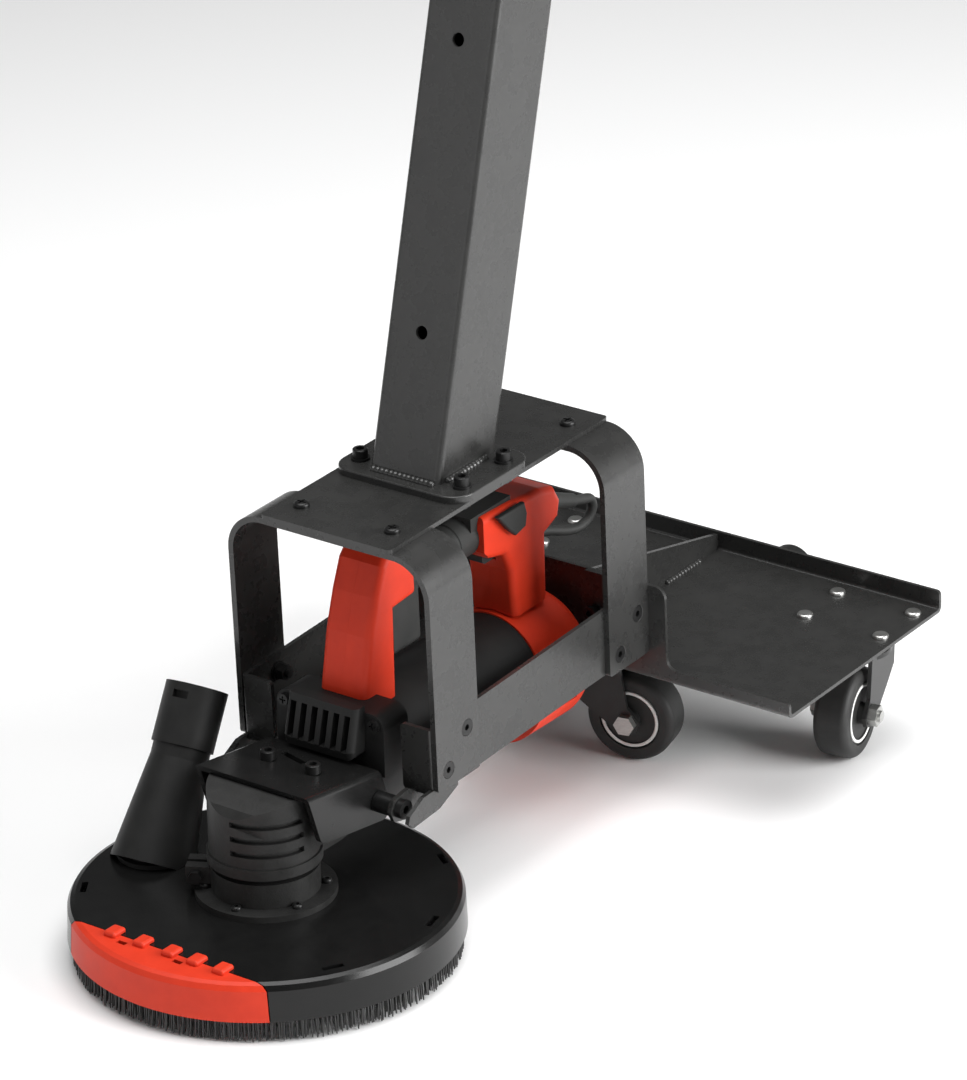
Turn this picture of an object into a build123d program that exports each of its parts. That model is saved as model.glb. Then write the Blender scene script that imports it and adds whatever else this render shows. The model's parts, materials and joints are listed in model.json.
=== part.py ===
from build123d import *
import math
import os

os.makedirs("parts", exist_ok=True)

# ---------------------------------------------------------------- dimensions
# Ground is Z = 0, the grinding spindle stands on the Z axis, the front is -Y.
# The wheeled frame leans 1.95 degrees nose-down; its parts are drawn in the
# frame's own axes (Y from the front hoop, Z from the hoop feet) and placed by FR.
PITCH = 1.95
SPY, SPZ = 80.8, 96.1            # spindle foot seen from the frame's axes
HW = 80.0                        # half width over the hoop legs
BAR_W, BAR_T = 45.0, 4.0         # hoop flat bar
HOOP_P = 190.0                   # front hoop to rear hoop
HOOP_H = 161.0
R_BEND = 28.0
RAIL_T = 3.0
PLATE_HX, PLATE_T = 51.5, 3.0
TRAY_CX, TRAY_HX = 8.4, 182.0
TRAY_Y0, TRAY_Y1 = 235.0, 423.0
TRAY_Z, TRAY_T = -21.0, 2.5
MAST_W, MAST_D, MAST_T, MAST_TILT = 55.0, 60.0, 2.5, 16.0
WHEEL_R, WHEEL_W, TRAIL = 31.75, 25.0, 25.0
SHROUD_R, SHROUD_TOP, SKIRT_Z = 127.0, 41.0, 15.5
BRUSH_R = 125.0
AX_Z = 99.0                      # motor axis height
PF = (-18.6, -6.0)               # pivot of the grinder, frame axes

_c, _s = math.cos(math.radians(PITCH)), math.sin(math.radians(PITCH))
FR = Location((0, SPY * _c - SPZ * _s, SPY * _s + SPZ * _c), (PITCH, 0, 0))


def world(y, z):
    """frame (y, z) -> ground (y, z)"""
    return ((y + SPY) * _c - (z + SPZ) * _s, (y + SPY) * _s + (z + SPZ) * _c)


PIV_Y, PIV_Z = world(*PF)

# ------------------------------------------------------------------- helpers
def box(x0, x1, y0, y1, z0, z1):
    return Pos((x0 + x1) / 2, (y0 + y1) / 2, (z0 + z1) / 2) * Box(x1 - x0, y1 - y0, z1 - z0)


def cz(x, y, z0, z1, r):
    return Pos(x, y, (z0 + z1) / 2) * Cylinder(r, z1 - z0)


def cx(x0, x1, y, z, r):
    return Pos((x0 + x1) / 2, y, z) * Rot(0, 90, 0) * Cylinder(r, x1 - x0)


def cy(x, y0, y1, z, r):
    return Pos(x, (y0 + y1) / 2, z) * Rot(90, 0, 0) * Cylinder(r, y1 - y0)


def cone_y(x, y0, y1, z, r0, r1):
    return Pos(x, (y0 + y1) / 2, z) * Rot(-90, 0, 0) * Cone(r0, r1, y1 - y0)


def cone_x(x0, x1, y, z, r0, r1):
    return Pos((x0 + x1) / 2, y, z) * Rot(0, 90, 0) * Cone(r0, r1, x1 - x0)


def yz(pts, x0, x1):
    f = make_face(Plane.YZ.offset(x0) * Polyline(*pts, close=True))
    return extrude(f, amount=x1 - x0, dir=(1, 0, 0))


def xy(pts, z0, z1):
    f = make_face(Plane.XY.offset(z0) * Polyline(*pts, close=True))
    return extrude(f, amount=z1 - z0, dir=(0, 0, 1))


def hex_z(x, y, z0, z1, af):
    return extrude(Pos(x, y, z0) * RegularPolygon(af / 2, 6, major_radius=False), amount=z1 - z0, dir=(0, 0, 1))


def hex_x(x0, x1, y, z, af):
    return Pos(x0, y, z) * Rot(0, 90, 0) * extrude(RegularPolygon(af / 2, 6, major_radius=False), amount=x1 - x0, dir=(0, 0, 1))


def hex_y(x, y0, y1, z, af):
    return Pos(x, y0, z) * Rot(-90, 0, 0) * extrude(RegularPolygon(af / 2, 6, major_radius=False), amount=y1 - y0, dir=(0, 0, 1))


def rr_z(x0, x1, y0, y1, z0, z1, r):
    b = box(x0, x1, y0, y1, z0, z1)
    return fillet(b.edges().filter_by(Axis.Z), r)


def solids(shape):
    return list(shape.solids())


def soften(shape, picks, r):
    for f in (1.0, 0.6, 0.35):
        try:
            return fillet(picks, r * f)
        except Exception:
            continue
    return shape


MADE = []


def save(name, *shapes, place=None):
    out = []
    for s in shapes:
        if place is not None:
            s = place * s
        out += solids(s)
    comp = out[0] if len(out) == 1 else Compound(children=out)
    comp.label = name
    export_step(comp, f"parts/{name}.step")
    MADE.append((name, len(out)))
    return comp


# ================================================================ the frame
HOLE_YZ = ((12.0, 12.0), (33.0, 33.0))      # leg screws, from the leg's front foot


def hoop(y0):
    o = box(-HW, HW, y0, y0 + BAR_W, 0, HOOP_H)
    o = fillet(o.edges().filter_by(Axis.Y).group_by(Axis.Z)[-1], R_BEND)
    i = box(-HW + BAR_T, HW - BAR_T, y0 - 1, y0 + BAR_W + 1, -1, HOOP_H - BAR_T)
    i = fillet(i.edges().filter_by(Axis.Y).group_by(Axis.Z)[-1], R_BEND - BAR_T)
    h = o - i
    for y, z in HOLE_YZ:
        h -= cx(-HW - 1, HW + 1, y0 + y, z, 3.3)
        for s in (-1, 1):
            h -= cone_x(HW - 3.0, HW, y0 + y, z, 3.3, 5.9) if s > 0 else cone_x(-HW, -HW + 3.0, y0 + y, z, 5.9, 3.3)
    for sx in (-36, 36):
        h -= cz(sx, y0 + BAR_W / 2, HOOP_H - 6, HOOP_H + 1, 3.3)
    h = chamfer_end(h, y0)
    return h


def chamfer_end(h, y0):
    e = h.edges().filter_by(Axis.X).group_by(Axis.Z)[0]
    try:
        return fillet(e, 2.5)
    except Exception:
        return h


front_hoop = hoop(0.0)
rear_hoop = hoop(HOOP_P)


def rail(s):
    xo, xi = HW - BAR_T, HW - BAR_T - RAIL_T
    web = yz([(0, -3), (TRAY_Y0, 2), (TRAY_Y0, 49), (0, 43.5)], xi, xo)
    lip = yz([(0, -3), (TRAY_Y0, 2), (TRAY_Y0, 5), (0, 0)], xo - 20, xo)
    ff = box(52, xo, 0, RAIL_T, -3, 43.5)
    ff = fillet(ff.edges().filter_by(Axis.Y).group_by(Axis.X)[0], 3)
    rf = box(28, xo, TRAY_Y0 - RAIL_T, TRAY_Y0, 2, 49)
    rf = fillet(rf.edges().filter_by(Axis.Y).group_by(Axis.X)[0], 5)
    b = web + lip + ff + rf
    outer = b.edges().filter_by(lambda e: abs(e.center().X - xo) < 0.01)
    # pivot cheeks below the front foot
    ly, lz = PF
    inner = yz([(18, -2.6), (18, -12), (4, -20), (ly, lz - 9.5), (ly - 6, lz - 7.5), (ly - 9.5, lz), (ly - 6, lz + 7.5), (-8, 3), (-1, -1), (3, -3)], 60, 63)
    outer_c = yz([(26, -2.4), (26, -6), (6, -14), (-22, -15.5), (-27, -11), (-25, -6), (-10, 1), (0, 1)], xi, xo)
    b = b + inner + outer_c
    b -= cx(59, 64, ly, lz, 4.15)
    for y0 in (0.0, HOOP_P):
        for y, z in HOLE_YZ:
            b -= cx(xi - 1, xo + 1, y0 + y, z, 3.3)
    for x in (38.3, 64):
        b -= cy(x, TRAY_Y0 - 4, TRAY_Y0 + 1, 20.5, 3.3)
    try:
        e = b.edges().filter_by(Axis.Z).filter_by(lambda e: abs(e.center().X - xo) < 0.01 and (e.center().Y < 0.1 or e.center().Y > TRAY_Y0 - 0.1) and e.length > 20)
        if len(e):
            b = fillet(e, 2.4)
    except Exception:
        pass
    if s < 0:
        b = mirror(b, about=Plane.YZ)
    return b


rail_r = rail(1)
rail_l = rail(-1)

top_plate = rr_z(-PLATE_HX, PLATE_HX, -1, 236.5, HOOP_H, HOOP_H + PLATE_T, 3.0)
MB = [(sx, sy) for sx in (-40.5, 40.5) for sy in (90.5, 135.5)]
PS = [(sx, sy) for sx in (-36, 36) for sy in (BAR_W / 2, HOOP_P + BAR_W / 2)]
ZP = HOOP_H + PLATE_T
FL_T = 5.0
mast_flange = rr_z(-52, 52, 72, 154, ZP, ZP + FL_T, 15)
mast_flange = fillet(mast_flange.edges().group_by(Axis.Z)[-1], 1.0)
for x, y in MB:
    top_plate -= cz(x, y, HOOP_H - 1, ZP + 1, 3.3)
    mast_flange -= cz(x, y, ZP - 1, ZP + FL_T + 1, 3.3)
for x, y in PS:
    top_plate -= cz(x, y, HOOP_H - 1, ZP + 1, 3.3)

# mast tube: own axes, z along the mast, front face at y = -MAST_D / 2
t = math.radians(MAST_TILT)
MC = (0, 81.8 + MAST_D / 2 * math.cos(t), 166.0 - MAST_D / 2 * math.sin(t))
ML = Location(MC, (-MAST_TILT, 0, 0))


def tube(w, d, r, z0, z1, th):
    o = rr_z(-w / 2, w / 2, -d / 2, d / 2, z0, z1, r)
    i = rr_z(-w / 2 + th, w / 2 - th, -d / 2 + th, d / 2 - th, z0 - 1, z1 + 1, max(r - th, 0.8))
    return o - i


MAST_L = 790.0
mast_low = tube(MAST_W, MAST_D, 4.0, -30, MAST_L, MAST_T)
for z in (97.3, 285.3):
    mast_low -= cy(0, -MAST_D / 2 - 1, -MAST_D / 2 + MAST_T + 1, z, 4.5)
mast_low = ML * mast_low
mast_low -= box(-60, 60, 0, 260, 0, ZP + FL_T)
handlebar = cx(-215, 215, 0, 804, 14.0) - cx(-216, 216, 0, 804, 11.5)
handlebar += box(-MAST_W / 2, MAST_W / 2, -MAST_D / 2, MAST_D / 2, MAST_L, MAST_L + 4) - cx(-30, 30, 0, 804, 11.5)


def bar_grip(s):
    x0, x1 = s * 105.0, s * 221.0
    lo, hi = min(x0, x1), max(x0, x1)
    g = cx(lo, hi, 0, 804, 17.5)
    g = fillet(g.edges().filter_by(GeomType.CIRCLE), 4)
    for k in range(5):
        c = s * (125 + 18 * k)
        g -= Pos(c, 0, 804) * Rot(0, 90, 0) * Torus(18.4, 2.0)
    g -= cx(min(s * 104, s * 215), max(s * 104, s * 215), 0, 804, 14.0)
    return g


# tray: one folded sheet
fl = TRAY_CX - TRAY_HX
fr_ = TRAY_CX + TRAY_HX
RB = 4.5
prof_lo = [(TRAY_Y0, TRAY_Z), (TRAY_Y1, TRAY_Z), (TRAY_Y1, TRAY_Z + 15.6), (TRAY_Y1 - TRAY_T, TRAY_Z + 15.6),
           (TRAY_Y1 - TRAY_T, TRAY_Z + TRAY_T), (TRAY_Y0 + TRAY_T, TRAY_Z + TRAY_T), (TRAY_Y0 + TRAY_T, TRAY_Z + 11.4), (TRAY_Y0, TRAY_Z + 11.4)]


def fold(pts, x0, x1):
    s = yz(pts, x0, x1)
    ex = s.edges().filter_by(Axis.X)
    out = [e for e in ex if abs(e.center().Z - TRAY_Z) < 0.01]
    s = fillet(out, RB)
    ex = s.edges().filter_by(Axis.X)
    inn = [e for e in ex if abs(e.center().Z - TRAY_Z - TRAY_T) < 0.01 and (abs(e.center().Y - TRAY_Y0 - TRAY_T) < 0.01 or abs(e.center().Y - TRAY_Y1 + TRAY_T) < 0.01)]
    return fillet(inn, RB - TRAY_T)


tray = fold(prof_lo, fl, fr_)
WX0, WX1 = TRAY_CX - 85, TRAY_CX + 85
wall = box(WX0, WX1, TRAY_Y0, TRAY_Y0 + TRAY_T, TRAY_Z + 11.4, 49)
wall = fillet(wall.edges().filter_by(Axis.Y).group_by(Axis.Z)[-1], 8)
tray = tray + wall
try:
    e = [q for q in tray.edges().filter_by(Axis.Y) if abs(q.center().Z - TRAY_Z - 11.4) < 0.05 and (abs(q.center().X - WX0) < 0.1 or abs(q.center().X - WX1) < 0.1)]
    tray = fillet(e, 7)
except Exception:
    pass
try:
    e = [q for q in tray.edges().filter_by(Axis.Y) if abs(abs(q.center().X - TRAY_CX) - TRAY_HX) < 0.1 and q.center().Z > TRAY_Z + 10]
    tray = fillet(e, 3)
except Exception:
    pass
for x in (38.3, 64):
    for s in (-1, 1):
        tray -= cy(s * x, TRAY_Y0 - 1, TRAY_Y0 + TRAY_T + 1, 20.5, 3.3)

rib = yz([(TRAY_Y0 + TRAY_T, TRAY_Z + TRAY_T + 3), (TRAY_Y0 + TRAY_T + 3, TRAY_Z + TRAY_T), (TRAY_Y1 - TRAY_T - 3, TRAY_Z + TRAY_T), (TRAY_Y1 - TRAY_T, TRAY_Z + TRAY_T + 3),
          (TRAY_Y1 - TRAY_T, -7.2), (TRAY_Y0 + TRAY_T, 36.0)], TRAY_CX - 1.5, TRAY_CX + 1.5)

# ---------------------------------------------------------------- casters
def ground_z(y):
    return -SPZ - math.tan(math.radians(PITCH)) * (y + SPY)


CASTERS = {
    "front": (12.0, 273.5, 0.0, (0.976, 0.2175)),
    "right": (TRAY_CX + 140.0, 385.0, 0.0, (0.18, -0.984)),
    "left": (TRAY_CX - 140.0, 385.0, 0.0, (0.32, -0.947)),
}
RV = [(sx, sy) for sx in (-30.3, 30.3) for sy in (-20.4, 20.4)]
rivets = []
for key, (x, y, _, d) in CASTERS.items():
    for rx, ry in RV:
        tray -= cz(x + rx, y + ry, TRAY_Z - 1, TRAY_Z + TRAY_T + 1, 3.1)
        zt = TRAY_Z + TRAY_T
        h = cz(x + rx, y + ry, zt, zt + 2.4, 5.6)
        h = fillet(h.edges().filter_by(GeomType.CIRCLE).group_by(Axis.Z)[-1], 1.9)
        rivets.append(h + cz(x + rx, y + ry, TRAY_Z - 3, zt, 3.05) + cz(x + rx, y + ry, TRAY_Z - 4.6, TRAY_Z - 3, 4.4))


def caster(key):
    x, y, _, d = CASTERS[key]
    n = math.hypot(*d)
    d = (d[0] / n, d[1] / n)
    wy = y + TRAIL * d[1]
    wz = ground_z(wy) + WHEEL_R / _c + 7.5 * _s * abs(d[0])
    ang = math.degrees(math.atan2(d[1], d[0]))
    L = Location((x, y, 0), (0, 0, ang))       # local x = rolling direction, y = axle
    zr = wz + WHEEL_R + 4.2                    # underside of the fork crown
    plate = rr_z(-37.5, 37.5, -27.5, 27.5, TRAY_Z - 3, TRAY_Z, 7)
    for rx, ry in RV:
        plate -= cz(rx, ry, TRAY_Z - 4, TRAY_Z + 1, 3.1)
    plate = Location((x, y, 0)) * plate
    race_top = zr + 3.0 + 0.4
    cup = cz(0, 0, race_top, TRAY_Z - 3, 21)
    cup = soften(cup, cup.edges().filter_by(GeomType.CIRCLE).group_by(Axis.Z)[0], 2.5)
    pin = cz(0, 0, zr - 2.2, TRAY_Z - 3, 4.9) + hex_z(0, 0, zr - 2.6, zr - 0.4, 13)
    plate = plate + L * cup + L * pin
    crown = cz(0, 0, zr, zr + 3.0, 22.5) + box(-16, 16, -18.3, 18.3, zr, zr + 3.0)
    crown = soften(crown, crown.edges().filter_by(Axis.Z), 3)
    leg = make_face(Plane.XZ * Polyline((-19.5, zr + 3), (21.5, zr + 3), (25.5, wz + 12), (TRAIL + 9.5, wz + 1), (TRAIL + 7.0, wz - 6.5), (TRAIL, wz - 9.5), (TRAIL - 7.5, wz - 6.5), (-4, wz + 9), (-17.5, wz + 20), close=True))
    legs = []
    for s in (-1, 1):
        y0 = 15.4 if s > 0 else -18.4
        lg = extrude(Pos(0, y0, 0) * leg, amount=3.0, dir=(0, 1, 0))
        lg -= cy(TRAIL, -30, 30, wz, 4.1)
        legs.append(lg)
    fork = crown + legs[0] + legs[1] - cz(0, 0, zr - 1, zr + 4, 4.98)
    wheel = cy(TRAIL, -WHEEL_W / 2, WHEEL_W / 2, wz, WHEEL_R)
    wheel = fillet(wheel.edges().filter_by(GeomType.CIRCLE), 5.0)
    for s in (-1, 1):
        a, b = (WHEEL_W / 2 - 1.6, WHEEL_W / 2 + 1) if s > 0 else (-WHEEL_W / 2 - 1, -WHEEL_W / 2 + 1.6)
        wheel -= cy(TRAIL, a, b, wz, 22.2)
        a2, b2 = (WHEEL_W / 2 - 1.6, WHEEL_W / 2 - 0.6) if s > 0 else (-WHEEL_W / 2 + 0.6, -WHEEL_W / 2 + 1.6)
        wheel += cy(TRAIL, a2, b2, wz, 20.6) - cy(TRAIL, a2 - 1, b2 + 1, wz, 18.4)
        a3, b3 = (WHEEL_W / 2 - 1.6, 15.0) if s > 0 else (-15.0, -WHEEL_W / 2 + 1.6)
        wheel += cy(TRAIL, a3, b3, wz, 7.5)
    wheel -= cy(TRAIL, -20, 20, wz, 4.08)
    axle = cy(TRAIL, -18.4, 18.4, wz, 4.0) + hex_y(TRAIL, -23.4, -18.4, wz, 13) + hex_y(TRAIL, 18.4, 24.4, wz, 13) + cy(TRAIL, 24.4, 26.4, wz, 4.0)
    return plate, L * fork, L * wheel, L * axle, (x, y), (x + TRAIL * d[0], wy, wz), d


CAST = {k: caster(k) for k in CASTERS}

# -------------------------------------------------------- frame fasteners
leg_screws, plate_screws, mast_bolts, tray_bolts = [], [], [], []
for y0 in (0.0, HOOP_P):
    for y, z in HOLE_YZ:
        for s in (-1, 1):
            a = cone_x(HW - 3.0, HW - 0.2, y0 + y, z, 3.0, 5.5) + cx(62.5, HW - 3.0, y0 + y, z, 3.0)
            a -= hex_x(HW - 2.4, HW + 1, y0 + y, z, 4)
            nut = hex_x(65.0, 70.0, y0 + y, z, 10) - cx(60, 80, y0 + y, z, 3.0)
            wsh = cx(71.5, 73.0, y0 + y, z, 6.6) - cx(60, 80, y0 + y, z, 3.0)
            spr = cx(70.0, 71.5, y0 + y, z, 5.4) - cx(60, 80, y0 + y, z, 3.0)
            scr = a + nut + wsh + spr
            if s < 0:
                scr = mirror(scr, about=Plane.YZ)
            leg_screws.append(scr)
for x, y in PS:
    h = cz(x, y, ZP, ZP + 3.3, 5.25)
    h = fillet(h.edges().filter_by(GeomType.CIRCLE).group_by(Axis.Z)[-1], 2.2)
    h -= box(x - 3.4, x + 3.4, y - 0.6, y + 0.6, ZP + 1.2, ZP + 4)
    h -= box(x - 0.6, x + 0.6, y - 3.4, y + 3.4, ZP + 1.2, ZP + 4)
    plate_screws.append(h + cz(x, y, HOOP_H - BAR_T - 7, ZP, 3.0) + hex_z(x, y, HOOP_H - BAR_T - 5, HOOP_H - BAR_T, 10))
for x, y in MB:
    z0 = ZP + FL_T
    h = cz(x, y, z0 + 1.6, z0 + 7.6, 5.0)
    h = chamfer(h.edges().filter_by(GeomType.CIRCLE).group_by(Axis.Z)[-1], 0.5)
    h -= hex_z(x, y, z0 + 4.6, z0 + 8, 5)
    mast_bolts.append(h + cz(x, y, z0, z0 + 1.6, 6.2) + cz(x, y, HOOP_H - 7, z0 + 1, 3.0) + hex_z(x, y, HOOP_H - 5, HOOP_H, 10))
for s in (-1, 1):
    for x in (38.3, 64):
        x = s * x
        h = cy(x, TRAY_Y0 - 9, TRAY_Y0 - 3, 20.5, 5.0)
        h -= hex_y(x, TRAY_Y0 - 10, TRAY_Y0 - 6, 20.5, 5)
        tray_bolts.append(h + cy(x, TRAY_Y0 - 3, TRAY_Y0 + 10, 20.5, 3.0) + hex_y(x, TRAY_Y0 + TRAY_T, TRAY_Y0 + TRAY_T + 5, 20.5, 10))

save("front_hoop", front_hoop, place=FR)
save("rear_hoop", rear_hoop, place=FR)
save("side_rail_right", rail_r, place=FR)
save("side_rail_left", rail_l, place=FR)
save("top_plate", top_plate, place=FR)
save("mast_base_flange", mast_flange, place=FR)
save("mast_tube", mast_low, place=FR)
save("handlebar_tube", ML * handlebar, place=FR)
save("handlebar_grips", ML * bar_grip(1), ML * bar_grip(-1), place=FR)
save("rear_tray", tray, place=FR)
save("tray_center_rib", rib, place=FR)
save("caster_rivets", *rivets, place=FR)
save("hoop_leg_screws", *leg_screws, place=FR)
save("top_plate_screws", *plate_screws, place=FR)
save("mast_flange_bolts", *mast_bolts, place=FR)
save("tray_wall_bolts", *tray_bolts, place=FR)
for k, (pl, fk, wh, ax, s_xy, w_xyz, d) in CAST.items():
    save(f"caster_{k}_swivel_plate", pl, place=FR)
    save(f"caster_{k}_fork", fk, place=FR)
    save(f"caster_{k}_wheel", wh, place=FR)
    save(f"caster_{k}_axle_bolt", ax, place=FR)
    y0, z0 = world(s_xy[1], TRAY_Z - 3)
    y1, z1 = world(w_xyz[1], w_xyz[2])
    print(f"JOINT caster {k}: swivel x {s_xy[0]:.3f} y {y0:.3f} z {z0:.3f}  axle x {w_xyz[0]:.3f} y {y1:.3f} z {z1:.3f} dir {d[0]:.4f} {d[1]:.4f}")

# ============================================================ shroud and disc
def ring(pts):
    f = make_face(Plane.XZ * Polyline(*pts, close=True))
    return revolve(f, axis=Axis.Z, revolution_arc=360)


CHORD = 99.0
R1, R2 = 126.4, 127.3
cover = ring([(30.3, 38), (30.3, 41), (121.5, 41), (124.5, 39.8), (R1, 36.5), (R2, SKIRT_Z), (R2 - 3, SKIRT_Z), (R1 - 3, 35.5), (121, 38)])
bris = ring([(118.5, 35), (122.8, 35), (123.9, 15), (BRUSH_R, 13), (BRUSH_R, 0), (118.5, 0)])
front = box(-150, 150, -150, -CHORD - 0.3, -5, 60)
back = box(-150, 150, -CHORD + 0.3, 150, -5, 60)
segment, seg_brush = cover & front, bris & front
cover, brush = cover & back, bris & back
CLIPS = (-42.5, -19.4, 3.6, 23.5, 43.9)
for x in CLIPS:
    tab = box(x - 4.8, x + 4.8, -CHORD - 6.5, -CHORD + 6, 41.0, 44.4)
    tab -= box(x - 6, x + 6, -CHORD - 0.3, -CHORD + 8, 40.5, 41.35)
    tab = soften(tab, tab.edges().filter_by(Axis.X).group_by(Axis.Z)[-1], 2.4)
    tab = soften(tab, tab.edges().filter_by(Axis.Z).group_by(Axis.Y)[-1], 2)
    segment += tab
for x in (-31, 13.5):
    segment -= box(x - 3.5, x + 3.5, -CHORD - 9, -CHORD - 5.5, 37, 42)
for ang, r in ((-147.8, 116.6), (55.4, 118), (12.7, 115), (-30.5, 113)):
    sl = Rot(0, 0, ang) * box(r - 2, r + 2, -7, 7, 37, 42)
    cover -= sl

NZ_X, NZ_EL, NZ_YAW, NZ_L, NZ_R, NZ_I = -91.0, 57.0, 8.0, 110.0, 19.0, 16.4
NL = Pos(NZ_X, 0, 41.2) * Rot(0, 0, NZ_YAW) * Rot(-(90 - NZ_EL), 0, 0)
nozzle = NL * (Pos(0, 0, NZ_L / 2 - 15) * Cylinder(NZ_R, NZ_L + 30))
nozzle += NL * (Pos(0, 0, NZ_L - 20) * Cylinder(NZ_R + 1.6, 40))
nozzle += NL * (Pos(0, 0, 27) * Cone(28.0, NZ_R, 70))
nozzle = nozzle - box(-200, 0, -90, 90, -40, 41.2)
nozzle += cz(NZ_X, 0, 41.2, 44.4, 25.0)
bore = NL * (Pos(0, 0, NZ_L / 2) * Cylinder(NZ_I, NZ_L + 90))
nozzle -= bore
nozzle -= NL * box(-5.5, 5.5, -NZ_R - 3, -NZ_I + 2, NZ_L - 10.5, NZ_L - 5.5)
cover -= bore & box(-160, -60, -40, 40, 36, 42)

NS = 6
SCR = [(38.5 * math.cos(math.radians(-21 + 60 * k)), 38.5 * math.sin(math.radians(-21 + 60 * k))) for k in range(NS)]
clamp_ring = cz(0, 0, 41.0, 45.2, 45.6) + cz(0, 0, 45.2, 62, 35.0)
ear = Rot(0, 0, -151) * box(31, 50, -9, 9, 48.4, 60)
clamp_ring += ear
clamp_ring -= cz(0, 0, 40, 63, 30.05)
clamp_ring -= Rot(0, 0, -151) * box(25, 52, -1.6, 1.6, 45.3, 63)
clamp_ring -= Rot(0, 0, -151) * cy(43.5, -12, 12, 53.5, 2.6)
screws = []
for x, y in SCR:
    cover -= cz(x, y, 37, 42, 2.6)
    clamp_ring -= cz(x, y, 40, 46, 2.6)
    h = cz(x, y, 45.2, 48.0, 3.4)
    h = soften(h, h.edges().filter_by(GeomType.CIRCLE).group_by(Axis.Z)[-1], 1.6)
    h -= hex_z(x, y, 46.6, 49, 2.6)
    screws.append(h + cz(x, y, 35, 45.2, 2.5) + hex_z(x, y, 33.6, 38, 8))
clamp_screw = Rot(0, 0, -151) * (cy(43.5, -13.5, 12.0, 53.5, 2.5) + cy(43.5, -14.0, -9.0, 53.5, 4.2) - hex_y(43.5, -15, -11.2, 53.5, 4) + hex_y(43.5, 9.0, 13.0, 53.5, 8))

spindle = cz(0, 0, 4, 89.6, 6.0) + cz(0, 0, 14, 20, 11.0)
disc = cz(0, 0, 6.5, 9.5, 110)
disc = soften(disc, disc.edges().filter_by(GeomType.CIRCLE), 0.6)
for k in range(16):
    seg = Rot(0, 0, 22.5 * k) * box(78, 106, -5, 5, 0.6, 6.5)
    disc += soften(seg, seg.edges().filter_by(Axis.Z), 1.5)
disc += cz(0, 0, 9.5, 14, 24)
disc -= cz(0, 0, 0, 15, 6.02)
nut = cz(0, 0, 2.6, 6.4, 15) - cz(0, 0, 2, 7, 6.02)
for k in range(2):
    nut -= Rot(0, 0, 180 * k) * cz(10.5, 0, 2, 5, 1.8)

GEAR_N, PIN_N = 24, 11
gear = cz(0, 0, 80, 84, 16.5)
cone_g = Pos(0, 0, 87.2) * Cone(17.4, 12.6, 6.4)
gear = gear + cone_g
for k in range(GEAR_N):
    gear -= Rot(0, 0, 360 / GEAR_N * k) * Pos(16.4, 0, 88.2) * Rot(0, 36.9, 0) * Box(12, 1.7, 2.6)
gear = gear - cz(0, 0, 79, 92, 6.0)

# ============================================================== gear housing
def top_z(y):
    return 118.2 - 0.14 * (y + 11.3)


GH_R = 35.5
gh = yz([(-36, 68), (-36, 106), (-31, 111.5), (-20, 115.6), (-11.3, 118.15), (66, top_z(66) - 0.05), (70.2, top_z(70.2) - 0.05), (70.2, 72), (40, 68)], -36, 36)
gh = gh & (cz(0, 0, 60, 125, GH_R) + box(-30, 30, 0, 71, 60, 125))
gh += cz(0, 0, 66, 73, GH_R + 1.5)
for z in (82.5, 92.5, 102.5):
    gh -= (cz(0, 0, z - 1.9, z + 1.9, 40) - cz(0, 0, z - 3, z + 3, GH_R - 3.2)) & box(1, 40, -40, -4, 60, 125)
gh += cz(0, 0, 45.5, 76, 30.0)
for z in (88, 98):
    gh -= Rot(0, 0, -158) * box(GH_R - 4.5, GH_R + 4, -7.5, 7.5, z - 3.2, z + 3.2)
gh -= box(-25, 25, -15, 30, 78, 110.5)
gh -= box(-16, 16, 29, 60, 86, 104)
gh -= cz(0, 0, 50, 68, 22)
gh -= cz(0, 0, 78, 92, 18.0)
gh -= cz(0, 0, 40, 80, 6.08)
gh -= cy(0, 55, 75, AX_Z, 4.08)

BT0, BT1, BB1, BB0 = (-11.3, 122.2), (62.3, 111.9), (76.5, 74.8), (1.1, 85.5)


def plate(x0, x1):
    q = yz([BT0, BT1, BB1, BB0], x0, x1)
    return soften(q, q.edges().filter_by(Axis.X).group_by(Axis.Z)[0] + q.edges().filter_by(Axis.X).group_by(Axis.Z)[1], 8)


brk = plate(-45.5, -41.5) + plate(41.5, 45.5)
brk += yz([BT0, BT1, (BT1[0] + 1.5, BT1[1] - 4.1), (BT0[0] + 1.4, BT0[1] - 4.2)], -45.5, 45.5)
brk = soften(brk, brk.edges().filter_by(lambda e: e.length > 60 and abs(e.center().X) > 45.4 and e.center().Z > 110), 3.5)
brk -= cx(-50, 50, PIV_Y, PIV_Z, 4.08)
brk -= Pos(-8, 42, 115) * Rot(0, 0, -17) * Box(22, 5, 16)
BOLTS = [(-18, 29), (18, 29)]
bolts = []
for x, y in BOLTS:
    zt = top_z(y) + 4.08
    brk -= cz(x, y, 100, 125, 3.1)
    gh -= cz(x, y, 104.5, 125, 3.1)
    h = cz(x, y, zt + 0.75, zt + 6.7, 5.0)
    h = chamfer(h.edges().filter_by(GeomType.CIRCLE).group_by(Axis.Z)[-1], 0.5)
    h -= hex_z(x, y, zt + 3.7, zt + 7.5, 5)
    bolts.append(h + cz(x, y, 106, zt + 1, 3.0))

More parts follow.
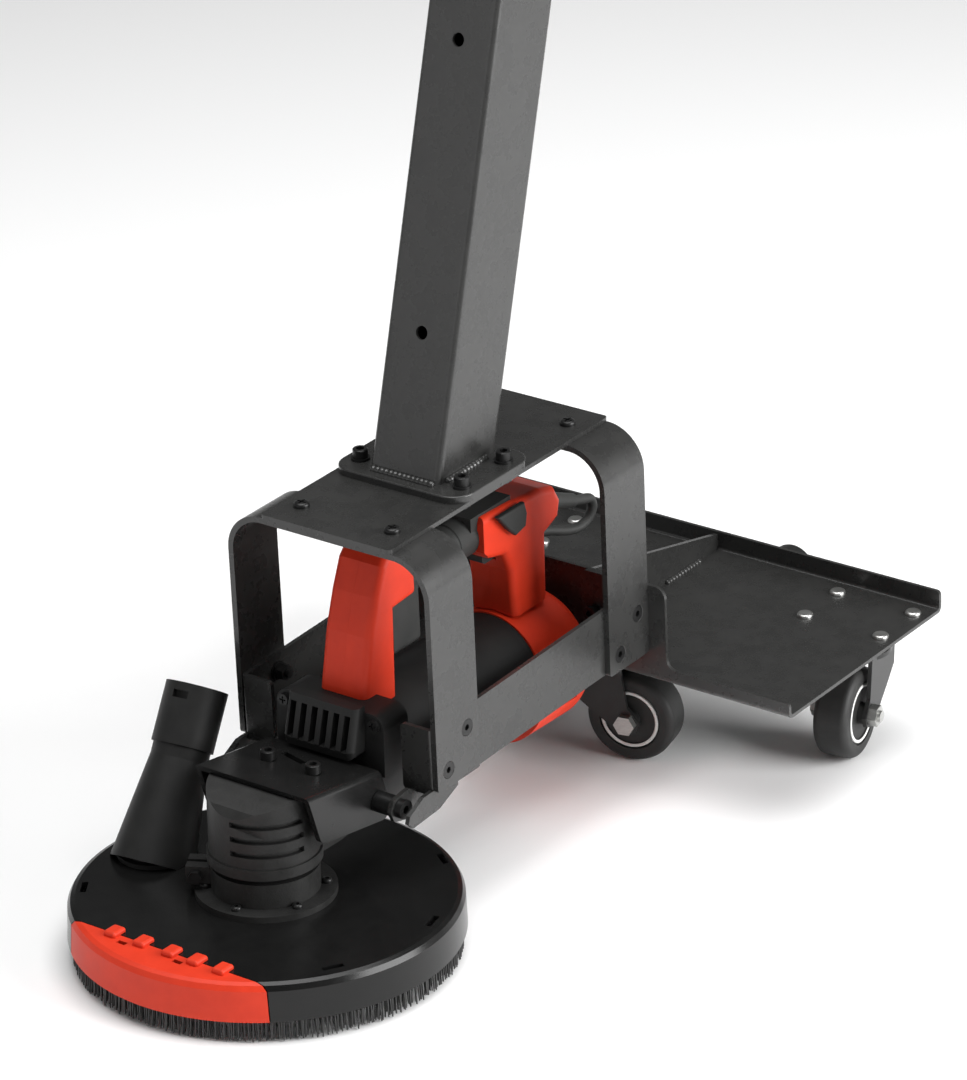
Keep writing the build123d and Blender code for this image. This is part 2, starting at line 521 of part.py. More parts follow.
# ============================================================== motor body
mh = cy(0, 70.5, 243, AX_Z, 41.0)
ears = box(-43, 43, 70.5, 96, 103, 145)
ears = soften(ears, ears.edges().filter_by(Axis.Y).group_by(Axis.Z)[-1], 10)
mh += ears
mh -= cy(0, 73.5, 244, AX_Z, 38.0)
mh -= cy(0, 60, 80, AX_Z, 4.6)
for k in range(6):
    x = -21 + 8.4 * k
    mh -= box(x - 2.4, x + 2.4, 69, 74.5, 116, 130)
hood = yz([(71, 115), (71, 149.5), (62.5, 149), (55.5, 121), (57, 115)], -28, 28)
hood = soften(hood, hood.edges().filter_by(lambda e: abs(e.center().X) > 27.9 and e.center().Y < 66), 5)
for k in range(6):
    x = -21.5 + 8.6 * k
    hood -= box(x - 2.3, x + 2.3, 50, 67, 120.5, 144)
mh += hood
for k in range(9):
    for sx in (-1, 1):
        y = 206 + 3.9 * k
        mh -= box(min(sx * 34, sx * 44), max(sx * 34, sx * 44), y - 1.0, y + 1.0, 92, 114)
hs = []
for sx in (-36, 36):
    mh -= cy(sx, 70, 94, 138, 2.1)
    h = cy(sx, 67.6, 70.5, 138, 4.0)
    h -= box(sx - 2.6, sx + 2.6, 67, 68.8, 137.5, 138.5) + box(sx - 0.5, sx + 0.5, 67, 68.8, 135.4, 140.6)
    hs.append(h + cy(sx, 70.5, 90, 138, 2.0))

cap = extrude(Pos(0, 243.2, 94.0) * Rot(-90, 0, 0) * Ellipse(44.5, 47.0), amount=58, dir=(0, 1, 0))
cap = soften(cap, cap.edges().group_by(Axis.Y)[-1], 11)
cin = extrude(Pos(0, 242, 97.0) * Rot(-90, 0, 0) * Ellipse(38.6, 40.6), amount=52, dir=(0, 1, 0))
cin = soften(cin, cin.edges().group_by(Axis.Y)[-1], 15)
cap -= cin
cap += cy(0, 268, 282, AX_Z, 9.0) + box(-2, 2, 268, 296, 60, 91)
cap -= cy(0, 266, 278, AX_Z, 4.08)
for k in range(7):
    z = 74 + 5.2 * k
    cap -= box(30, 48, 258, 284, z, z + 2.4) + box(-48, -30, 258, 284, z, z + 2.4)

stator = cy(0, 120, 185, AX_Z, 37.9) - cy(0, 119, 186, AX_Z, 24.0)
for k in range(4):
    a = math.radians(90 * k + 45)
    stator -= cy(30 * math.cos(a), 119, 186, AX_Z + 30 * math.sin(a), 4.5)
arm = cy(0, 22, 277, AX_Z, 4.0) + cy(0, 122, 183, AX_Z, 22.8) + cy(0, 192, 212, AX_Z, 13.5)
for k in range(12):
    a = math.radians(30 * k)
    arm -= cy(22.5 * math.cos(a), 121, 184, AX_Z + 22.5 * math.sin(a), 1.8)
pinion = cone_y(0, 12.5, 22, AX_Z, 5.6, 8.3)
for k in range(PIN_N):
    a = 360 / PIN_N * k
    pinion -= Pos(0, 17.5, AX_Z) * Rot(0, a, 0) * Pos(0, 0, 8.6) * Rot(15.9, 0, 0) * Box(1.7, 14, 2.6)
arm = arm + pinion
fan = cy(0, 84, 87, AX_Z, 34) + cy(0, 87, 98, AX_Z, 9)
for k in range(14):
    fan += Pos(0, 92, AX_Z) * Rot(0, 360 / 14 * k, 0) * Pos(0, 0, 22) * Box(1.6, 11, 22)
fan -= cy(0, 80, 100, AX_Z, 4.0)

# ============================================================ D handle (frame axes)
sil = [(5.5, 36), (8, 50), (16, 86), (24.6, 111), (33, 130), (38, 135), (50, 134), (60, 122), (66, 112.5), (138, 111.5), (142, 120), (173, 118.6), (205, 116), (221, 111), (227, 100), (224, 88), (209, 82), (208, 36), (171, 36), (169, 70), (163, 84), (148, 88), (138, 97.5), (66, 97.5), (44, 96), (42, 36)]
f = make_face(Plane.YZ * Polyline(*sil, close=True))
HX = 18.5
body = extrude(Pos(-HX, 0, 0) * f, amount=2 * HX, dir=(1, 0, 0))
slim = box(-HX - 1, HX + 1, 64, 140, 90, 118) - Pos(0, 102, 104.5) * Rot(90, 0, 0) * Cylinder(9.5, 80)
body -= slim
body = soften(body, body.edges().filter_by(lambda e: abs(abs(e.center().X) - HX) < 0.05 and (e.center().Y < 60 or e.center().Y > 145) and e.center().Z > 45), 5)
P1 = [(13, 50), (20, 85), (28, 108), (38, 128), (48, 128), (55, 119), (55, 101), (39, 98), (37, 50)]
P2 = [(150, 112), (172, 112.5), (204, 110), (218, 104.5), (221, 99), (218, 93), (205, 87), (204, 50), (176, 50), (174, 72), (168.5, 93), (150, 97)]
body -= yz(P1, -HX + 3.4, HX - 3.4) + yz(P2, -HX + 3.4, HX - 3.4)
slot = box(-8.6, 8.6, 150, 168.5, 78, 99)
body -= slot
LOCK_Y, LOCK_Z = 167.0, 108.5
body -= cx(HX - 10, HX + 2, LOCK_Y, LOCK_Z, 6.1)
motor_clear = FR.inverse() * (cy(0, 60, 243.1, AX_Z, 41.15) + Location((0, 243, 97.0)) * Rot(-90, 0, 0) * Pos(0, 0, 35) * Cylinder(44.8, 70) + box(-44, 44, 60, 96.2, 90, 145.2))
body -= motor_clear
shell_l = body & box(-40, -0.02, -20, 260, 20, 160)
shell_r = body & box(0.02, 40, -20, 260, 20, 160)

grip = Pos(0, 107, 105) * Rot(90, 0, 0) * Cylinder(14.7, 84)
grip += box(-14, 14, 46, 74, 60, 103) - box(-20, 20, 30, 45.5, 50, 140)
grip = soften(grip, grip.edges().filter_by(lambda e: abs(e.center().Z - 60) < 0.5), 4)
grip += box(-13.5, 13.5, 133, 177, 112, 121.6)
for k in range(3):
    grip -= Pos(0, 84 + 18 * k, 105) * Rot(90, 0, 0) * Torus(15.4, 1.5)
grip -= body
grip = max(grip.solids(), key=lambda q: q.volume)

trigger = box(-8.1, 8.1, 150.5, 168.0, 80, 94.5)
trigger = soften(trigger, trigger.edges().filter_by(Axis.X).group_by(Axis.Z)[0], 4)
lock_btn = yz([(149, 118.5), (161, 105), (168, 98.5), (179, 101), (181, 110), (178.5, 118.5)], 20.8, 24.4)
lock_btn = soften(lock_btn, lock_btn.edges().group_by(Axis.X)[-1], 1.6)
lock_btn += cx(12.8, 21.0, LOCK_Y, LOCK_Z, 6.0)
boot = Location((0, 224.6, 94.5)) * Rot(-111, 0, 0) * Pos(0, 0, 20) * Cone(7.2, 4.9, 44)
boot -= body
boot = max(boot.solids(), key=lambda q: q.volume)

pb, ps = [], []
for s in (-1, 1):
    b_ = cx(36.6, 63.0, PF[0], PF[1], 4.0) + cx(63.0, 68.0, PF[0], PF[1], 6.5) - hex_x(65.4, 70, PF[0], PF[1], 5)
    b_ += hex_x(36.6, 41.1, PF[0], PF[1], 13)
    w = cx(45.85, 60.0, PF[0], PF[1], 7.0) - cx(40, 64, PF[0], PF[1], 4.0)
    if s < 0:
        b_, w = mirror(b_, about=Plane.YZ), mirror(w, about=Plane.YZ)
    pb.append(b_)
    ps.append(w)
py, pz = world(*PF)
print(f"JOINT pivot y {py:.3f} z {pz:.3f}")

# ============================================================ power cord
CORD_R = 3.5
B0 = Vector(0, *world(263.81, 79.45))
BD = Vector(0, math.sin(math.radians(111 - PITCH)), math.cos(math.radians(111 - PITCH)))
COIL_X, COIL_Y, COIL_R, COIL_I, COIL_H = 22.0, 572.0, 48.0, 26.0, 22.0
E0 = Vector(-22.0, 553.6, CORD_R + 0.1)
ROUTE = [B0, B0 + BD * 8, Vector(-1, 359.6, 181.7), Vector(-2, 364.5, 175.8), Vector(-3, 364.5, 168.2), Vector(-4.2, 359.6, 162.3),
         Vector(-5.6, 351.3, 160.4), Vector(-8, 341, 162), Vector(-11, 328, 166.5), Vector(-17, 311, 169.5), Vector(-27, 292, 165.5), Vector(-38, 275, 152),
         Vector(-45.5, 262, 131), Vector(-48.6, 253, 105), Vector(-49, 251, 78), Vector(-50, 258, 51),
         Vector(-53, 275, 26), Vector(-58, 300, 9), Vector(-63, 329, 3.6), Vector(-66, 361, 3.6), Vector(-63, 394, 3.6),
         Vector(-54, 426, 3.6), Vector(-43, 457, 3.6), Vector(-32, 489, 3.6), Vector(-24, 521, 3.6), E0]
runs = [ROUTE[i + 1] - ROUTE[i] for i in range(len(ROUTE) - 1)]
radii = []
for i in range(len(runs) - 1):
    turn = math.radians(runs[i].get_angle(runs[i + 1]))
    radii.append(0.45 * min(runs[i].length, runs[i + 1].length) / math.tan(turn / 2))
print("cord radii", [round(r, 1) for r in radii])
path = FilletPolyline(*ROUTE, radius=radii)
cord = sweep(Plane(origin=path @ 0, z_dir=path % 0) * Circle(CORD_R), path=path)
print("cord length", round(path.length, 1), "volume ratio", round(cord.volume / (math.pi * CORD_R ** 2 * path.length), 4), "valid", cord.is_valid)
coil = cz(COIL_X, COIL_Y, 0.05, COIL_H, COIL_R) - cz(COIL_X, COIL_Y, -1, COIL_H + 1, COIL_I)
coil = soften(coil, coil.edges().filter_by(GeomType.CIRCLE).group_by(Axis.Z)[-1], 6)
cord = cord - coil
PX, PY0 = -22.0, 590.8
plug = cone_y(PX, PY0, PY0 + 20, 18.1, 5.2, 12) + cy(PX, PY0 + 20, PY0 + 54, 18.1, 18.0)
plug = soften(plug, plug.edges().filter_by(GeomType.CIRCLE).group_by(Axis.Y)[-1], 3)
for dx in (-9.5, 9.5):
    plug += cy(PX + dx, PY0 + 53, PY0 + 73, 18.1, 2.4)
plug -= coil

save("pivot_bolts", *pb, place=FR)
save("pivot_spacers", *ps, place=FR)
save("shroud_cover", cover)
save("shroud_edge_segment", segment)
save("brush_ring", brush)
save("segment_brush", seg_brush)
save("vacuum_nozzle", nozzle)
save("shroud_clamp_ring", clamp_ring)
save("shroud_flange_screws", *screws)
save("clamp_ring_screw", clamp_screw)
save("gear_housing", gh)
save("pivot_bracket", brk)
save("bracket_bolts", *bolts)
save("motor_housing", mh)
save("motor_housing_screws", *hs)
save("rear_cap", cap)
save("stator", stator)
save("armature", arm)
save("cooling_fan", fan)
save("spindle", spindle)
save("bevel_gear", gear)
save("grinding_disc", disc)
save("disc_lock_nut", nut)
save("handle_shell_left", shell_l, place=FR)
save("handle_shell_right", shell_r, place=FR)
save("handle_grip", grip, place=FR)
save("trigger", trigger, place=FR)
save("lock_on_button", lock_btn, place=FR)
save("cord_strain_relief", boot, place=FR)
save("power_cord", cord)
save("power_cord_coil", coil)
save("power_plug", plug)
for n, k in MADE:
    if k > 1:
        print("multi", n, k)
print("done", len(MADE))
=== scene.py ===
import json
import math
import random

import bmesh
import bpy
from mathutils import Matrix, Vector


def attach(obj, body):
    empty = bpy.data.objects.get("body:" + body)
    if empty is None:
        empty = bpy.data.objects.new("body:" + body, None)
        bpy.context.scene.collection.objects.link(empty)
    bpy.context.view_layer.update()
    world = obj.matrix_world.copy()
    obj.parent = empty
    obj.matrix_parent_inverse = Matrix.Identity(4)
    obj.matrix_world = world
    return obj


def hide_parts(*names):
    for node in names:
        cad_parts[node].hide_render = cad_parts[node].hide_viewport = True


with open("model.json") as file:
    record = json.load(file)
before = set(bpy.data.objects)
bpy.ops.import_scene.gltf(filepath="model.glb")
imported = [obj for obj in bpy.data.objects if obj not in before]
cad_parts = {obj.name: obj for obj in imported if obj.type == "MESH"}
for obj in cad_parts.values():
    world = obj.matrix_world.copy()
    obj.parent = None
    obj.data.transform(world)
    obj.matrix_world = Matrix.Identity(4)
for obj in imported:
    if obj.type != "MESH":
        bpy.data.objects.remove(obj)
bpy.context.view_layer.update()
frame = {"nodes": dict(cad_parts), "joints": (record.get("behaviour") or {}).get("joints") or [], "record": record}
nodes = frame["nodes"]
rnd = random.Random(7)
PITCH = math.radians(1.95)


# ------------------------------------------------------------------ materials
def new_mat(name):
    m = bpy.data.materials.new(name)
    m.use_nodes = True
    nt = m.node_tree
    b = nt.nodes["Principled BSDF"]
    return m, nt, b


def add(nt, kind, **inp):
    n = nt.nodes.new(kind)
    for k, v in inp.items():
        n.inputs[k.replace("_", " ")].default_value = v
    return n


def surface(name, c_lo, c_hi, rough=(0.45, 0.6), metallic=0.0, scale=60.0, bump=0.05, fine=900.0, coat=0.0, spec=0.5, aniso=False):
    """colour mottle, roughness variation, and fine bump"""
    m, nt, b = new_mat(name)
    L = nt.links.new
    tc = nt.nodes.new("ShaderNodeTexCoord")
    big = add(nt, "ShaderNodeTexNoise", Scale=scale, Detail=5.0, Roughness=0.6)
    mp = nt.nodes.new("ShaderNodeMapping")
    if aniso:
        mp.inputs["Scale"].default_value = (1.0, 14.0, 14.0)
    L(tc.outputs["Object"], mp.inputs["Vector"])
    L(mp.outputs["Vector"], big.inputs["Vector"])
    small = add(nt, "ShaderNodeTexNoise", Scale=fine, Detail=3.0, Roughness=0.55)
    L(tc.outputs["Object"], small.inputs["Vector"])
    ramp = nt.nodes.new("ShaderNodeValToRGB")
    ramp.color_ramp.elements[0].position = 0.3
    ramp.color_ramp.elements[1].position = 0.72
    ramp.color_ramp.elements[0].color = (*c_lo, 1)
    ramp.color_ramp.elements[1].color = (*c_hi, 1)
    L(big.outputs["Fac"], ramp.inputs["Fac"])
    col = ramp.outputs["Color"]
    L(col, b.inputs["Base Color"])
    rr = nt.nodes.new("ShaderNodeMapRange")
    rr.inputs["To Min"].default_value = rough[0]
    rr.inputs["To Max"].default_value = rough[1]
    L(big.outputs["Fac"], rr.inputs["Value"])
    L(rr.outputs["Result"], b.inputs["Roughness"])
    bp = add(nt, "ShaderNodeBump", Strength=bump, Distance=0.0006)
    L(small.outputs["Fac"], bp.inputs["Height"])
    L(bp.outputs["Normal"], b.inputs["Normal"])
    b.inputs["Metallic"].default_value = metallic
    b.inputs["Specular IOR Level"].default_value = spec
    if coat:
        b.inputs["Coat Weight"].default_value = coat
        b.inputs["Coat Roughness"].default_value = 0.35
    return m


M = {
    "charcoal": surface("charcoal_powder_coat", (0.020, 0.020, 0.0195), (0.028, 0.028, 0.027), (0.25, 0.30), 0.0, 70, 0.09, 1500, 0.12, 0.5),
    "shroud_plastic": surface("shroud_satin", (0.006, 0.006, 0.006), (0.008, 0.008, 0.0078), (0.20, 0.25), 0.0, 80, 0.05, 1300, 0.0, 0.30),
    "red_plastic": surface("red_moulding", (0.56, 0.030, 0.009), (0.66, 0.040, 0.013), (0.42, 0.52), 0.0, 40, 0.07, 1700, 0.0, 0.26),
    "dark_plastic": surface("dark_moulding", (0.010, 0.010, 0.010), (0.016, 0.016, 0.0155), (0.44, 0.56), 0.0, 50, 0.14, 1400, 0.0, 0.26),
    "soft_rubber": surface("soft_rubber", (0.016, 0.017, 0.016), (0.026, 0.026, 0.025), (0.55, 0.68), 0.0, 70, 0.22, 1100, 0.0, 0.35),
    "cast_alu": surface("cast_housing", (0.014, 0.014, 0.0135), (0.026, 0.026, 0.0255), (0.42, 0.54), 0.12, 55, 0.30, 700, 0.0, 0.3),
    "zinc": surface("zinc_plate", (0.42, 0.42, 0.41), (0.56, 0.56, 0.54), (0.26, 0.42), 0.95, 80, 0.05, 900, aniso=True),
    "black_steel": surface("black_oxide", (0.012, 0.012, 0.012), (0.024, 0.024, 0.024), (0.30, 0.42), 0.5, 90, 0.06, 1200, 0.0, 0.5),
    "bristle": surface("nylon_bristle", (0.014, 0.014, 0.014), (0.034, 0.034, 0.033), (0.45, 0.6), 0.0, 320, 0.1, 2500),
    "wheel_tread": surface("tread_rubber", (0.014, 0.014, 0.0135), (0.024, 0.024, 0.0235), (0.48, 0.60), 0.0, 60, 0.16, 1200, 0.0, 0.4),
    "copper_core": surface("laminations", (0.24, 0.20, 0.17), (0.36, 0.28, 0.22), (0.35, 0.5), 0.8, 90, 0.2, 1600, aniso=True),
    "bracket_black": surface("bracket_black_paint", (0.008, 0.008, 0.008), (0.011, 0.011, 0.0108), (0.24, 0.29), 0.0, 70, 0.07, 1400, 0.0, 0.3),
    "fork_paint": surface("fork_black", (0.016, 0.016, 0.016), (0.026, 0.026, 0.0255), (0.34, 0.44), 0.2, 60, 0.08, 1300),
    "white_ring": surface("white_hub_ring", (0.66, 0.66, 0.64), (0.76, 0.76, 0.74), (0.42, 0.55), 0.0, 60, 0.06, 900),
}
SLOT = {sp["node"]: sp["material_slot"] for sp in frame["record"]["subparts"]}
for n, o in nodes.items():
    key = SLOT.get(n, "charcoal")
    if n.startswith("caster") and n.endswith("_fork"):
        key = "fork_paint"
    if n == "pivot_bracket":
        key = "bracket_black"
    o.data.materials.clear()
    o.data.materials.append(M[key])
    for poly in o.data.polygons:
        poly.use_smooth = True
    mod = o.modifiers.new("edge", "EDGE_SPLIT")
    mod.split_angle = math.radians(32)


# ------------------------------------------------------------------- helpers
def mesh_obj(name, bm, slot, body):
    me = bpy.data.meshes.new(name)
    bm.to_mesh(me)
    bm.free()
    o = bpy.data.objects.new(name, me)
    bpy.context.scene.collection.objects.link(o)
    me.materials.append(M[slot])
    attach(o, body)
    return o


def F(x, y, z):
    """frame axes in millimetres -> ground axes in metres"""
    c, s = math.cos(PITCH), math.sin(PITCH)
    y, z = y + 80.8, z + 96.1
    return Vector((x, y * c - z * s, y * s + z * c)) / 1000.0


# ------------------------------------------------------------- brush bristles
def bristles(name, slot, body, replaced, keep):
    bm = bmesh.new()
    rings = ((0.1196, 300), (0.1212, 320), (0.1228, 330))
    for r, n in rings:
        for k in range(n):
            a = 2 * math.pi * (k + rnd.uniform(-0.35, 0.35)) / n
            cx0, cy0 = r * math.cos(a), r * math.sin(a)
            if not keep(cy0):
                continue
            flare = 0.0016 * (r - 0.119) / 0.0038 + rnd.uniform(-0.0005, 0.0005)
            swing = rnd.uniform(-0.0022, 0.0022)
            bottom = rnd.uniform(0.0002, 0.0030)
            w = 0.00085
            up, dn = [], []
            for q in range(4):
                b = a + math.pi / 4 + q * math.pi / 2
                up.append(bm.verts.new((cx0 + w * math.cos(b), cy0 + w * math.sin(b), 0.0335)))
            rr = min(r + flare, 0.1243)
            ex, ey = rr * math.cos(a) - swing * math.sin(a), rr * math.sin(a) + swing * math.cos(a)
            if not keep(ey):
                ey = cy0
            for q in range(4):
                b = a + math.pi / 4 + q * math.pi / 2
                dn.append(bm.verts.new((ex + 0.55 * w * math.cos(b), ey + 0.55 * w * math.sin(b), bottom)))
            for q in range(4):
                bm.faces.new((up[q], up[(q + 1) % 4], dn[(q + 1) % 4], dn[q]))
            bm.faces.new(up[::-1])
            bm.faces.new(dn)
    bmesh.ops.recalc_face_normals(bm, faces=bm.faces)
    o = mesh_obj(name, bm, slot, body)
    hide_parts(replaced)
    return o


bristles("brush_tufts", "bristle", "head", "brush_ring", lambda y: y > -0.0984)
bristles("segment_tufts", "bristle", "edge_segment", "segment_brush", lambda y: y < -0.0996)


# -------------------------------------------------------------- weld beads
def bead(name, pts, r, body, wave=0.0035):
    """a rippled weld run along a line of points"""
    bm = bmesh.new()
    rows = []
    dist = 0.0
    for i, p in enumerate(pts):
        p = Vector(p)
        t = (Vector(pts[min(i + 1, len(pts) - 1)]) - Vector(pts[max(i - 1, 0)])).normalized()
        if i:
            dist += (p - Vector(pts[i - 1])).length
        side = t.cross(Vector((0.31, 0.17, 0.93))).normalized()
        up = side.cross(t).normalized()
        k = r * (1 + 0.20 * abs(math.sin(math.pi * dist / wave)) + rnd.uniform(-0.04, 0.04))
        if i in (0, len(pts) - 1):
            k *= 0.45
        rows.append([bm.verts.new(p + side * k * math.cos(a) + up * k * math.sin(a)) for a in [2 * math.pi * j / 10 for j in range(10)]])
    for a, b in zip(rows, rows[1:]):
        for j in range(10):
            bm.faces.new((a[j], a[(j + 1) % 10], b[(j + 1) % 10], b[j]))
    bm.faces.new(rows[0][::-1])
    bm.faces.new(rows[-1])
    bmesh.ops.recalc_face_normals(bm, faces=bm.faces)
    for f in bm.faces:
        f.smooth = True
    return mesh_obj(name, bm, "charcoal", body)


def line(a, b, n):
    return [a + (b - a) * (i / (n - 1)) for i in range(n)]


bead("weld_mast_front", line(F(-25, 81.6, 169.3), F(25, 81.6, 169.3), 70), 0.0023, "frame")
bead("weld_mast_right", line(F(27.9, 90, 169.4), F(27.9, 134, 169.4), 60), 0.0023, "frame")
bead("weld_mast_left", line(F(-27.9, 90, 169.4), F(-27.9, 134, 169.4), 60), 0.0023, "frame")
RX = 8.4
bead("weld_rib_right", line(F(RX + 1.9, 355, -18.1), F(RX + 1.9, 398, -18.1), 60), 0.0021, "frame")
bead("weld_rib_left", line(F(RX - 1.9, 300, -18.1), F(RX - 1.9, 340, -18.1), 56), 0.0021, "frame")


# ------------------------------------------------------------------- cord
CR = 0.0035
B0 = Vector((0, 338.4, 187.3))
c_, s_ = math.cos(PITCH), math.sin(PITCH)
by, bz = 263.81 + 80.8, 79.45 + 96.1
B0 = Vector((0, by * c_ - bz * s_, by * s_ + bz * c_))
ba = math.radians(111 - 1.95)
BD = Vector((0, math.sin(ba), math.cos(ba)))
route = [B0, B0 + BD * 8] + [Vector(p) for p in (
    (-1, 359.6, 181.7), (-2, 364.5, 175.8), (-3, 364.5, 168.2), (-4.2, 359.6, 162.3), (-5.6, 351.3, 160.4), (-8, 341, 162),
    (-11, 328, 166.5), (-17, 311, 169.5), (-27, 292, 165.5), (-38, 275, 152), (-45.5, 262, 131), (-48.6, 253, 105), (-49, 251, 78),
    (-50, 258, 51), (-53, 275, 26), (-58, 300, 9), (-63, 329, 3.6), (-66, 361, 3.6), (-63, 394, 3.6), (-54, 426, 3.6),
    (-43, 457, 3.6), (-32, 489, 3.6), (-24, 521, 3.6), (-22, 548, 3.6))]
CX, CY, PER = 22.0, 572.0, 16
# clockwise turns: in along the floor, out over them, then round the top to the plug
plan = [(43.9, 3.6), (37.0, 3.6), (30.0, 3.6), (30.0, 10.7), (37.0, 10.7), (43.9, 10.7), (43.9, 17.8), (37.0, 17.8)]


def level(t):
    i = min(int(t), len(plan) - 1)
    j = min(i + 1, len(plan) - 1)
    f = t - i
    # each change of turn is made in the last third of a revolution
    g = max(0.0, (f - 0.66) / 0.34)
    g = g * g * (3 - 2 * g)
    r = plan[i][0] + (plan[j][0] - plan[i][0]) * g
    z = plan[i][1] + (plan[j][1] - plan[i][1]) * g
    return r, z


TURNS = 7
for k in range(TURNS * PER + 1):
    t = k / PER
    r, z = level(t)
    a = math.pi - 2 * math.pi * t
    r /= math.cos(math.pi / PER) ** 0.5
    route.append(Vector((CX + r * math.cos(a), CY + r * math.sin(a), z)))
# the last turn ends on the outer tangent, heading for the plug
last = route[-1]
route += [Vector((last.x - 2.5, 580, 17.9)), Vector((-22.0, 587, 18.1)), Vector((-22.0, 595, 18.1))]

cu = bpy.data.curves.new("lead_cord", "CURVE")
cu.dimensions = "3D"
sp = cu.splines.new("NURBS")
sp.points.add(len(route) - 1)
for i, p in enumerate(route):
    sp.points[i].co = (p.x / 1000, p.y / 1000, p.z / 1000, 1)
sp.order_u = 3
sp.use_endpoint_u = True
sp.resolution_u = 6
cu.bevel_depth = CR
cu.bevel_resolution = 4
cu.use_fill_caps = True
cord = bpy.data.objects.new("lead_cord", cu)
bpy.context.scene.collection.objects.link(cord)
cu.materials.append(M["soft_rubber"])
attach(cord, "head")
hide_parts("power_cord", "power_cord_coil")

line_cu = cu.copy()
line_cu.bevel_depth = 0
tmp = bpy.data.objects.new("measure_line", line_cu)
bpy.context.scene.collection.objects.link(tmp)
me = bpy.data.meshes.new_from_object(tmp)
bpy.data.objects.remove(tmp)
bpy.data.meshes.remove(me)
bpy.data.curves.remove(line_cu)


# ---------------------------------------------------------- caster hub rings
def hub_ring(name, node, body, joint):
    j = next(q for q in frame["joints"] if q["name"] == joint)
    c, ax = Vector(j["pos_m"]), Vector(j["axis"]).normalized()
    u = ax.cross(Vector((0, 0, 1))).normalized()
    v = ax.cross(u).normalized()
    bm = bmesh.new()
    for s in (-1, 1):
        prof = ((0.0186, 0.0110), (0.0186, 0.0121), (0.0192, 0.01235), (0.0202, 0.01235), (0.0208, 0.0121), (0.0208, 0.0110))
        rows = []
        for k in range(72):
            a = 2 * math.pi * k / 72
            d = u * math.cos(a) + v * math.sin(a)
            rows.append([bm.verts.new(c + d * r + ax * s * h) for r, h in prof])
        for k in range(72):
            a, b = rows[k], rows[(k + 1) % 72]
            for i in range(len(prof)):
                i2 = (i + 1) % len(prof)
                bm.faces.new((a[i], a[i2], b[i2], b[i]))
    bmesh.ops.recalc_face_normals(bm, faces=bm.faces)
    for f in bm.faces:
        f.smooth = True
    me = bpy.data.meshes.new(name)
    bm.to_mesh(me)
    bm.free()
    o = bpy.data.objects.new(name, me)
    bpy.context.scene.collection.objects.link(o)
    me.materials.append(M["white_ring"])
    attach(o, body)


for k in ("front", "right", "left"):
    hub_ring(f"hub_rings_{k}", f"caster_{k}_wheel", f"caster_{k}_wheel", f"caster_{k}_roll")

# -------------------------------------------------------------- floor, light
bm = bmesh.new()
bmesh.ops.create_grid(bm, x_segments=2, y_segments=2, size=14.0)
fm = bpy.data.meshes.new("studio_floor")
bm.to_mesh(fm)
bm.free()
floor = bpy.data.objects.new("studio_floor", fm)
floor.location = (0, 0, -0.0004)
bpy.context.scene.collection.objects.link(floor)
fmat, fnt, fb = new_mat("pale_floor")
fb.inputs["Base Color"].default_value = (0.93, 0.93, 0.93, 1)
fb.inputs["Roughness"].default_value = 0.85
fb.inputs["Specular IOR Level"].default_value = 0.1
fm.materials.append(fmat)

w = bpy.data.worlds.new("studio")
bpy.context.scene.world = w
w.use_nodes = True
w.node_tree.nodes["Background"].inputs["Color"].default_value = (1, 1, 1, 1)
wc = w.node_tree.nodes.new("ShaderNodeTexCoord")
ws = w.node_tree.nodes.new("ShaderNodeSeparateXYZ")
wr = w.node_tree.nodes.new("ShaderNodeMapRange")
wr.inputs["From Min"].default_value = 0.02
wr.inputs["From Max"].default_value = 0.22
wr.inputs["To Min"].default_value = 1.0
wr.inputs["To Max"].default_value = 0.10
w.node_tree.links.new(wc.outputs["Generated"], ws.inputs["Vector"])
w.node_tree.links.new(ws.outputs["Z"], wr.inputs["Value"])
w.node_tree.links.new(wr.outputs["Result"], w.node_tree.nodes["Background"].inputs["Strength"])


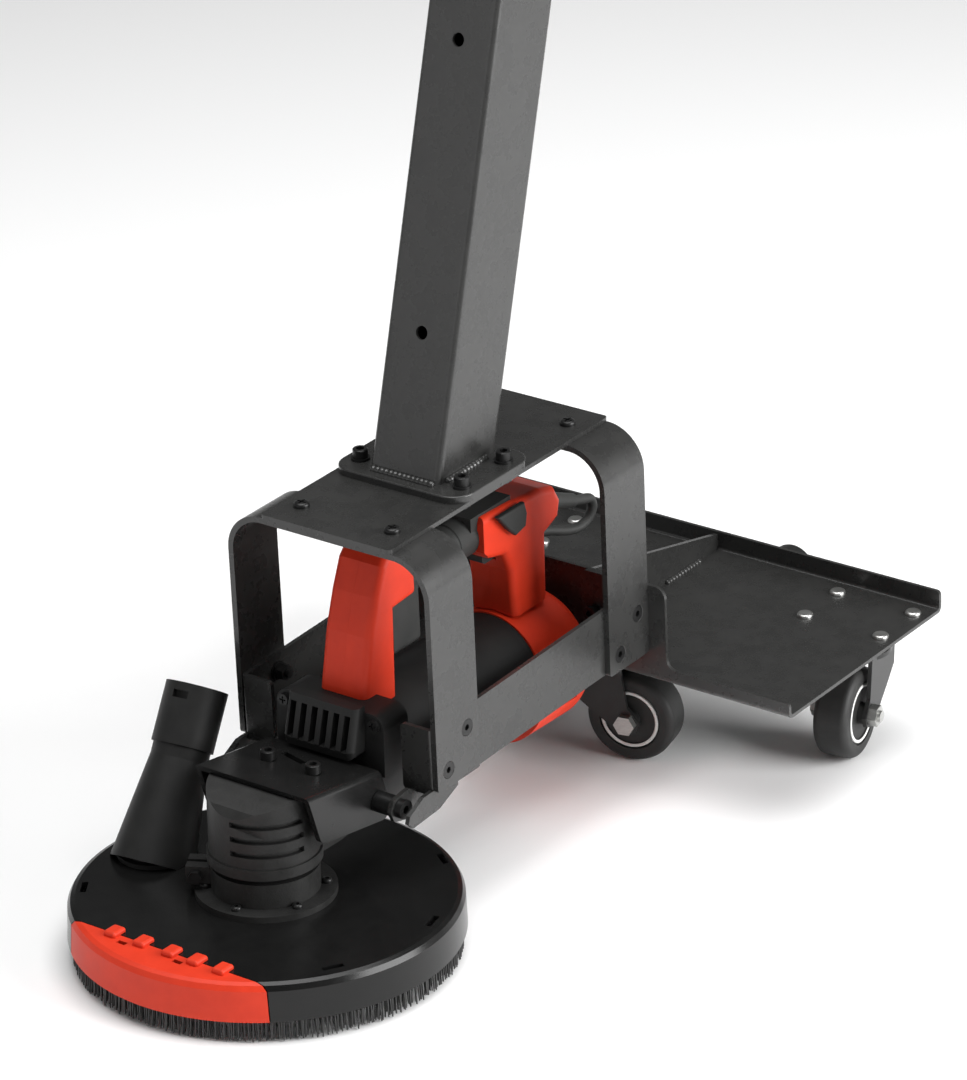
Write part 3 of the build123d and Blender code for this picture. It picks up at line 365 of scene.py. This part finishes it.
def area(name, loc, target, size, power):
    d = bpy.data.lights.new(name, "AREA")
    d.shape = "RECTANGLE"
    d.size, d.size_y, d.energy = size[0], size[1], power
    o = bpy.data.objects.new(name, d)
    o.location = loc
    o.rotation_euler = (Vector(target) - Vector(loc)).to_track_quat("-Z", "Y").to_euler()
    bpy.context.scene.collection.objects.link(o)


area("key_right", (2.4, 0.9, 1.1), (0, 0.2, 0.2), (1.8, 1.6), 96)
area("top_soft", (0.1, 0.1, 2.8), (0, 0.2, 0.1), (2.4, 2.4), 92)
area("front_fill", (-0.9, -2.4, 1.0), (0, 0.1, 0.2), (1.8, 1.4), 5)

# ----------------------------------------------------------------- camera
AZ, EL, ROLL = math.radians(37.22), math.radians(25.57), math.radians(-2.51)
TX, TY, D = 29.67, -54.11, 3511.4
right = Vector((math.cos(AZ), math.sin(AZ), 0))
fh = Vector((-math.sin(AZ), math.cos(AZ), 0))
fwd = fh * math.cos(EL) - Vector((0, 0, math.sin(EL)))
up = fh * math.sin(EL) + Vector((0, 0, math.cos(EL)))
r_ = right * math.cos(ROLL) + up * math.sin(ROLL)
u_ = -right * math.sin(ROLL) + up * math.cos(ROLL)
C = Vector((60, 130, 60)) - r_ * TX - u_ * TY - fwd * D
R = Matrix.Rotation(PITCH, 3, "X")
r_w, u_w, f_w = R @ r_, R @ u_, R @ fwd
C_w = F(C.x, C.y, C.z)
cam_d = bpy.data.cameras.new("photo_camera")
cam = bpy.data.objects.new("photo_camera", cam_d)
bpy.context.scene.collection.objects.link(cam)
b_w = -f_w
cam.matrix_world = Matrix(((r_w.x, u_w.x, b_w.x, C_w.x), (r_w.y, u_w.y, b_w.y, C_w.y), (r_w.z, u_w.z, b_w.z, C_w.z), (0, 0, 0, 1)))
cam_d.sensor_fit = "HORIZONTAL"
cam_d.sensor_width = 36.0
cam_d.lens = 36.0 * 5431.0 / 967.0
cam_d.clip_start, cam_d.clip_end = 0.1, 60.0
bpy.context.scene.camera = cam
bpy.context.scene.view_settings.view_transform = "Standard"
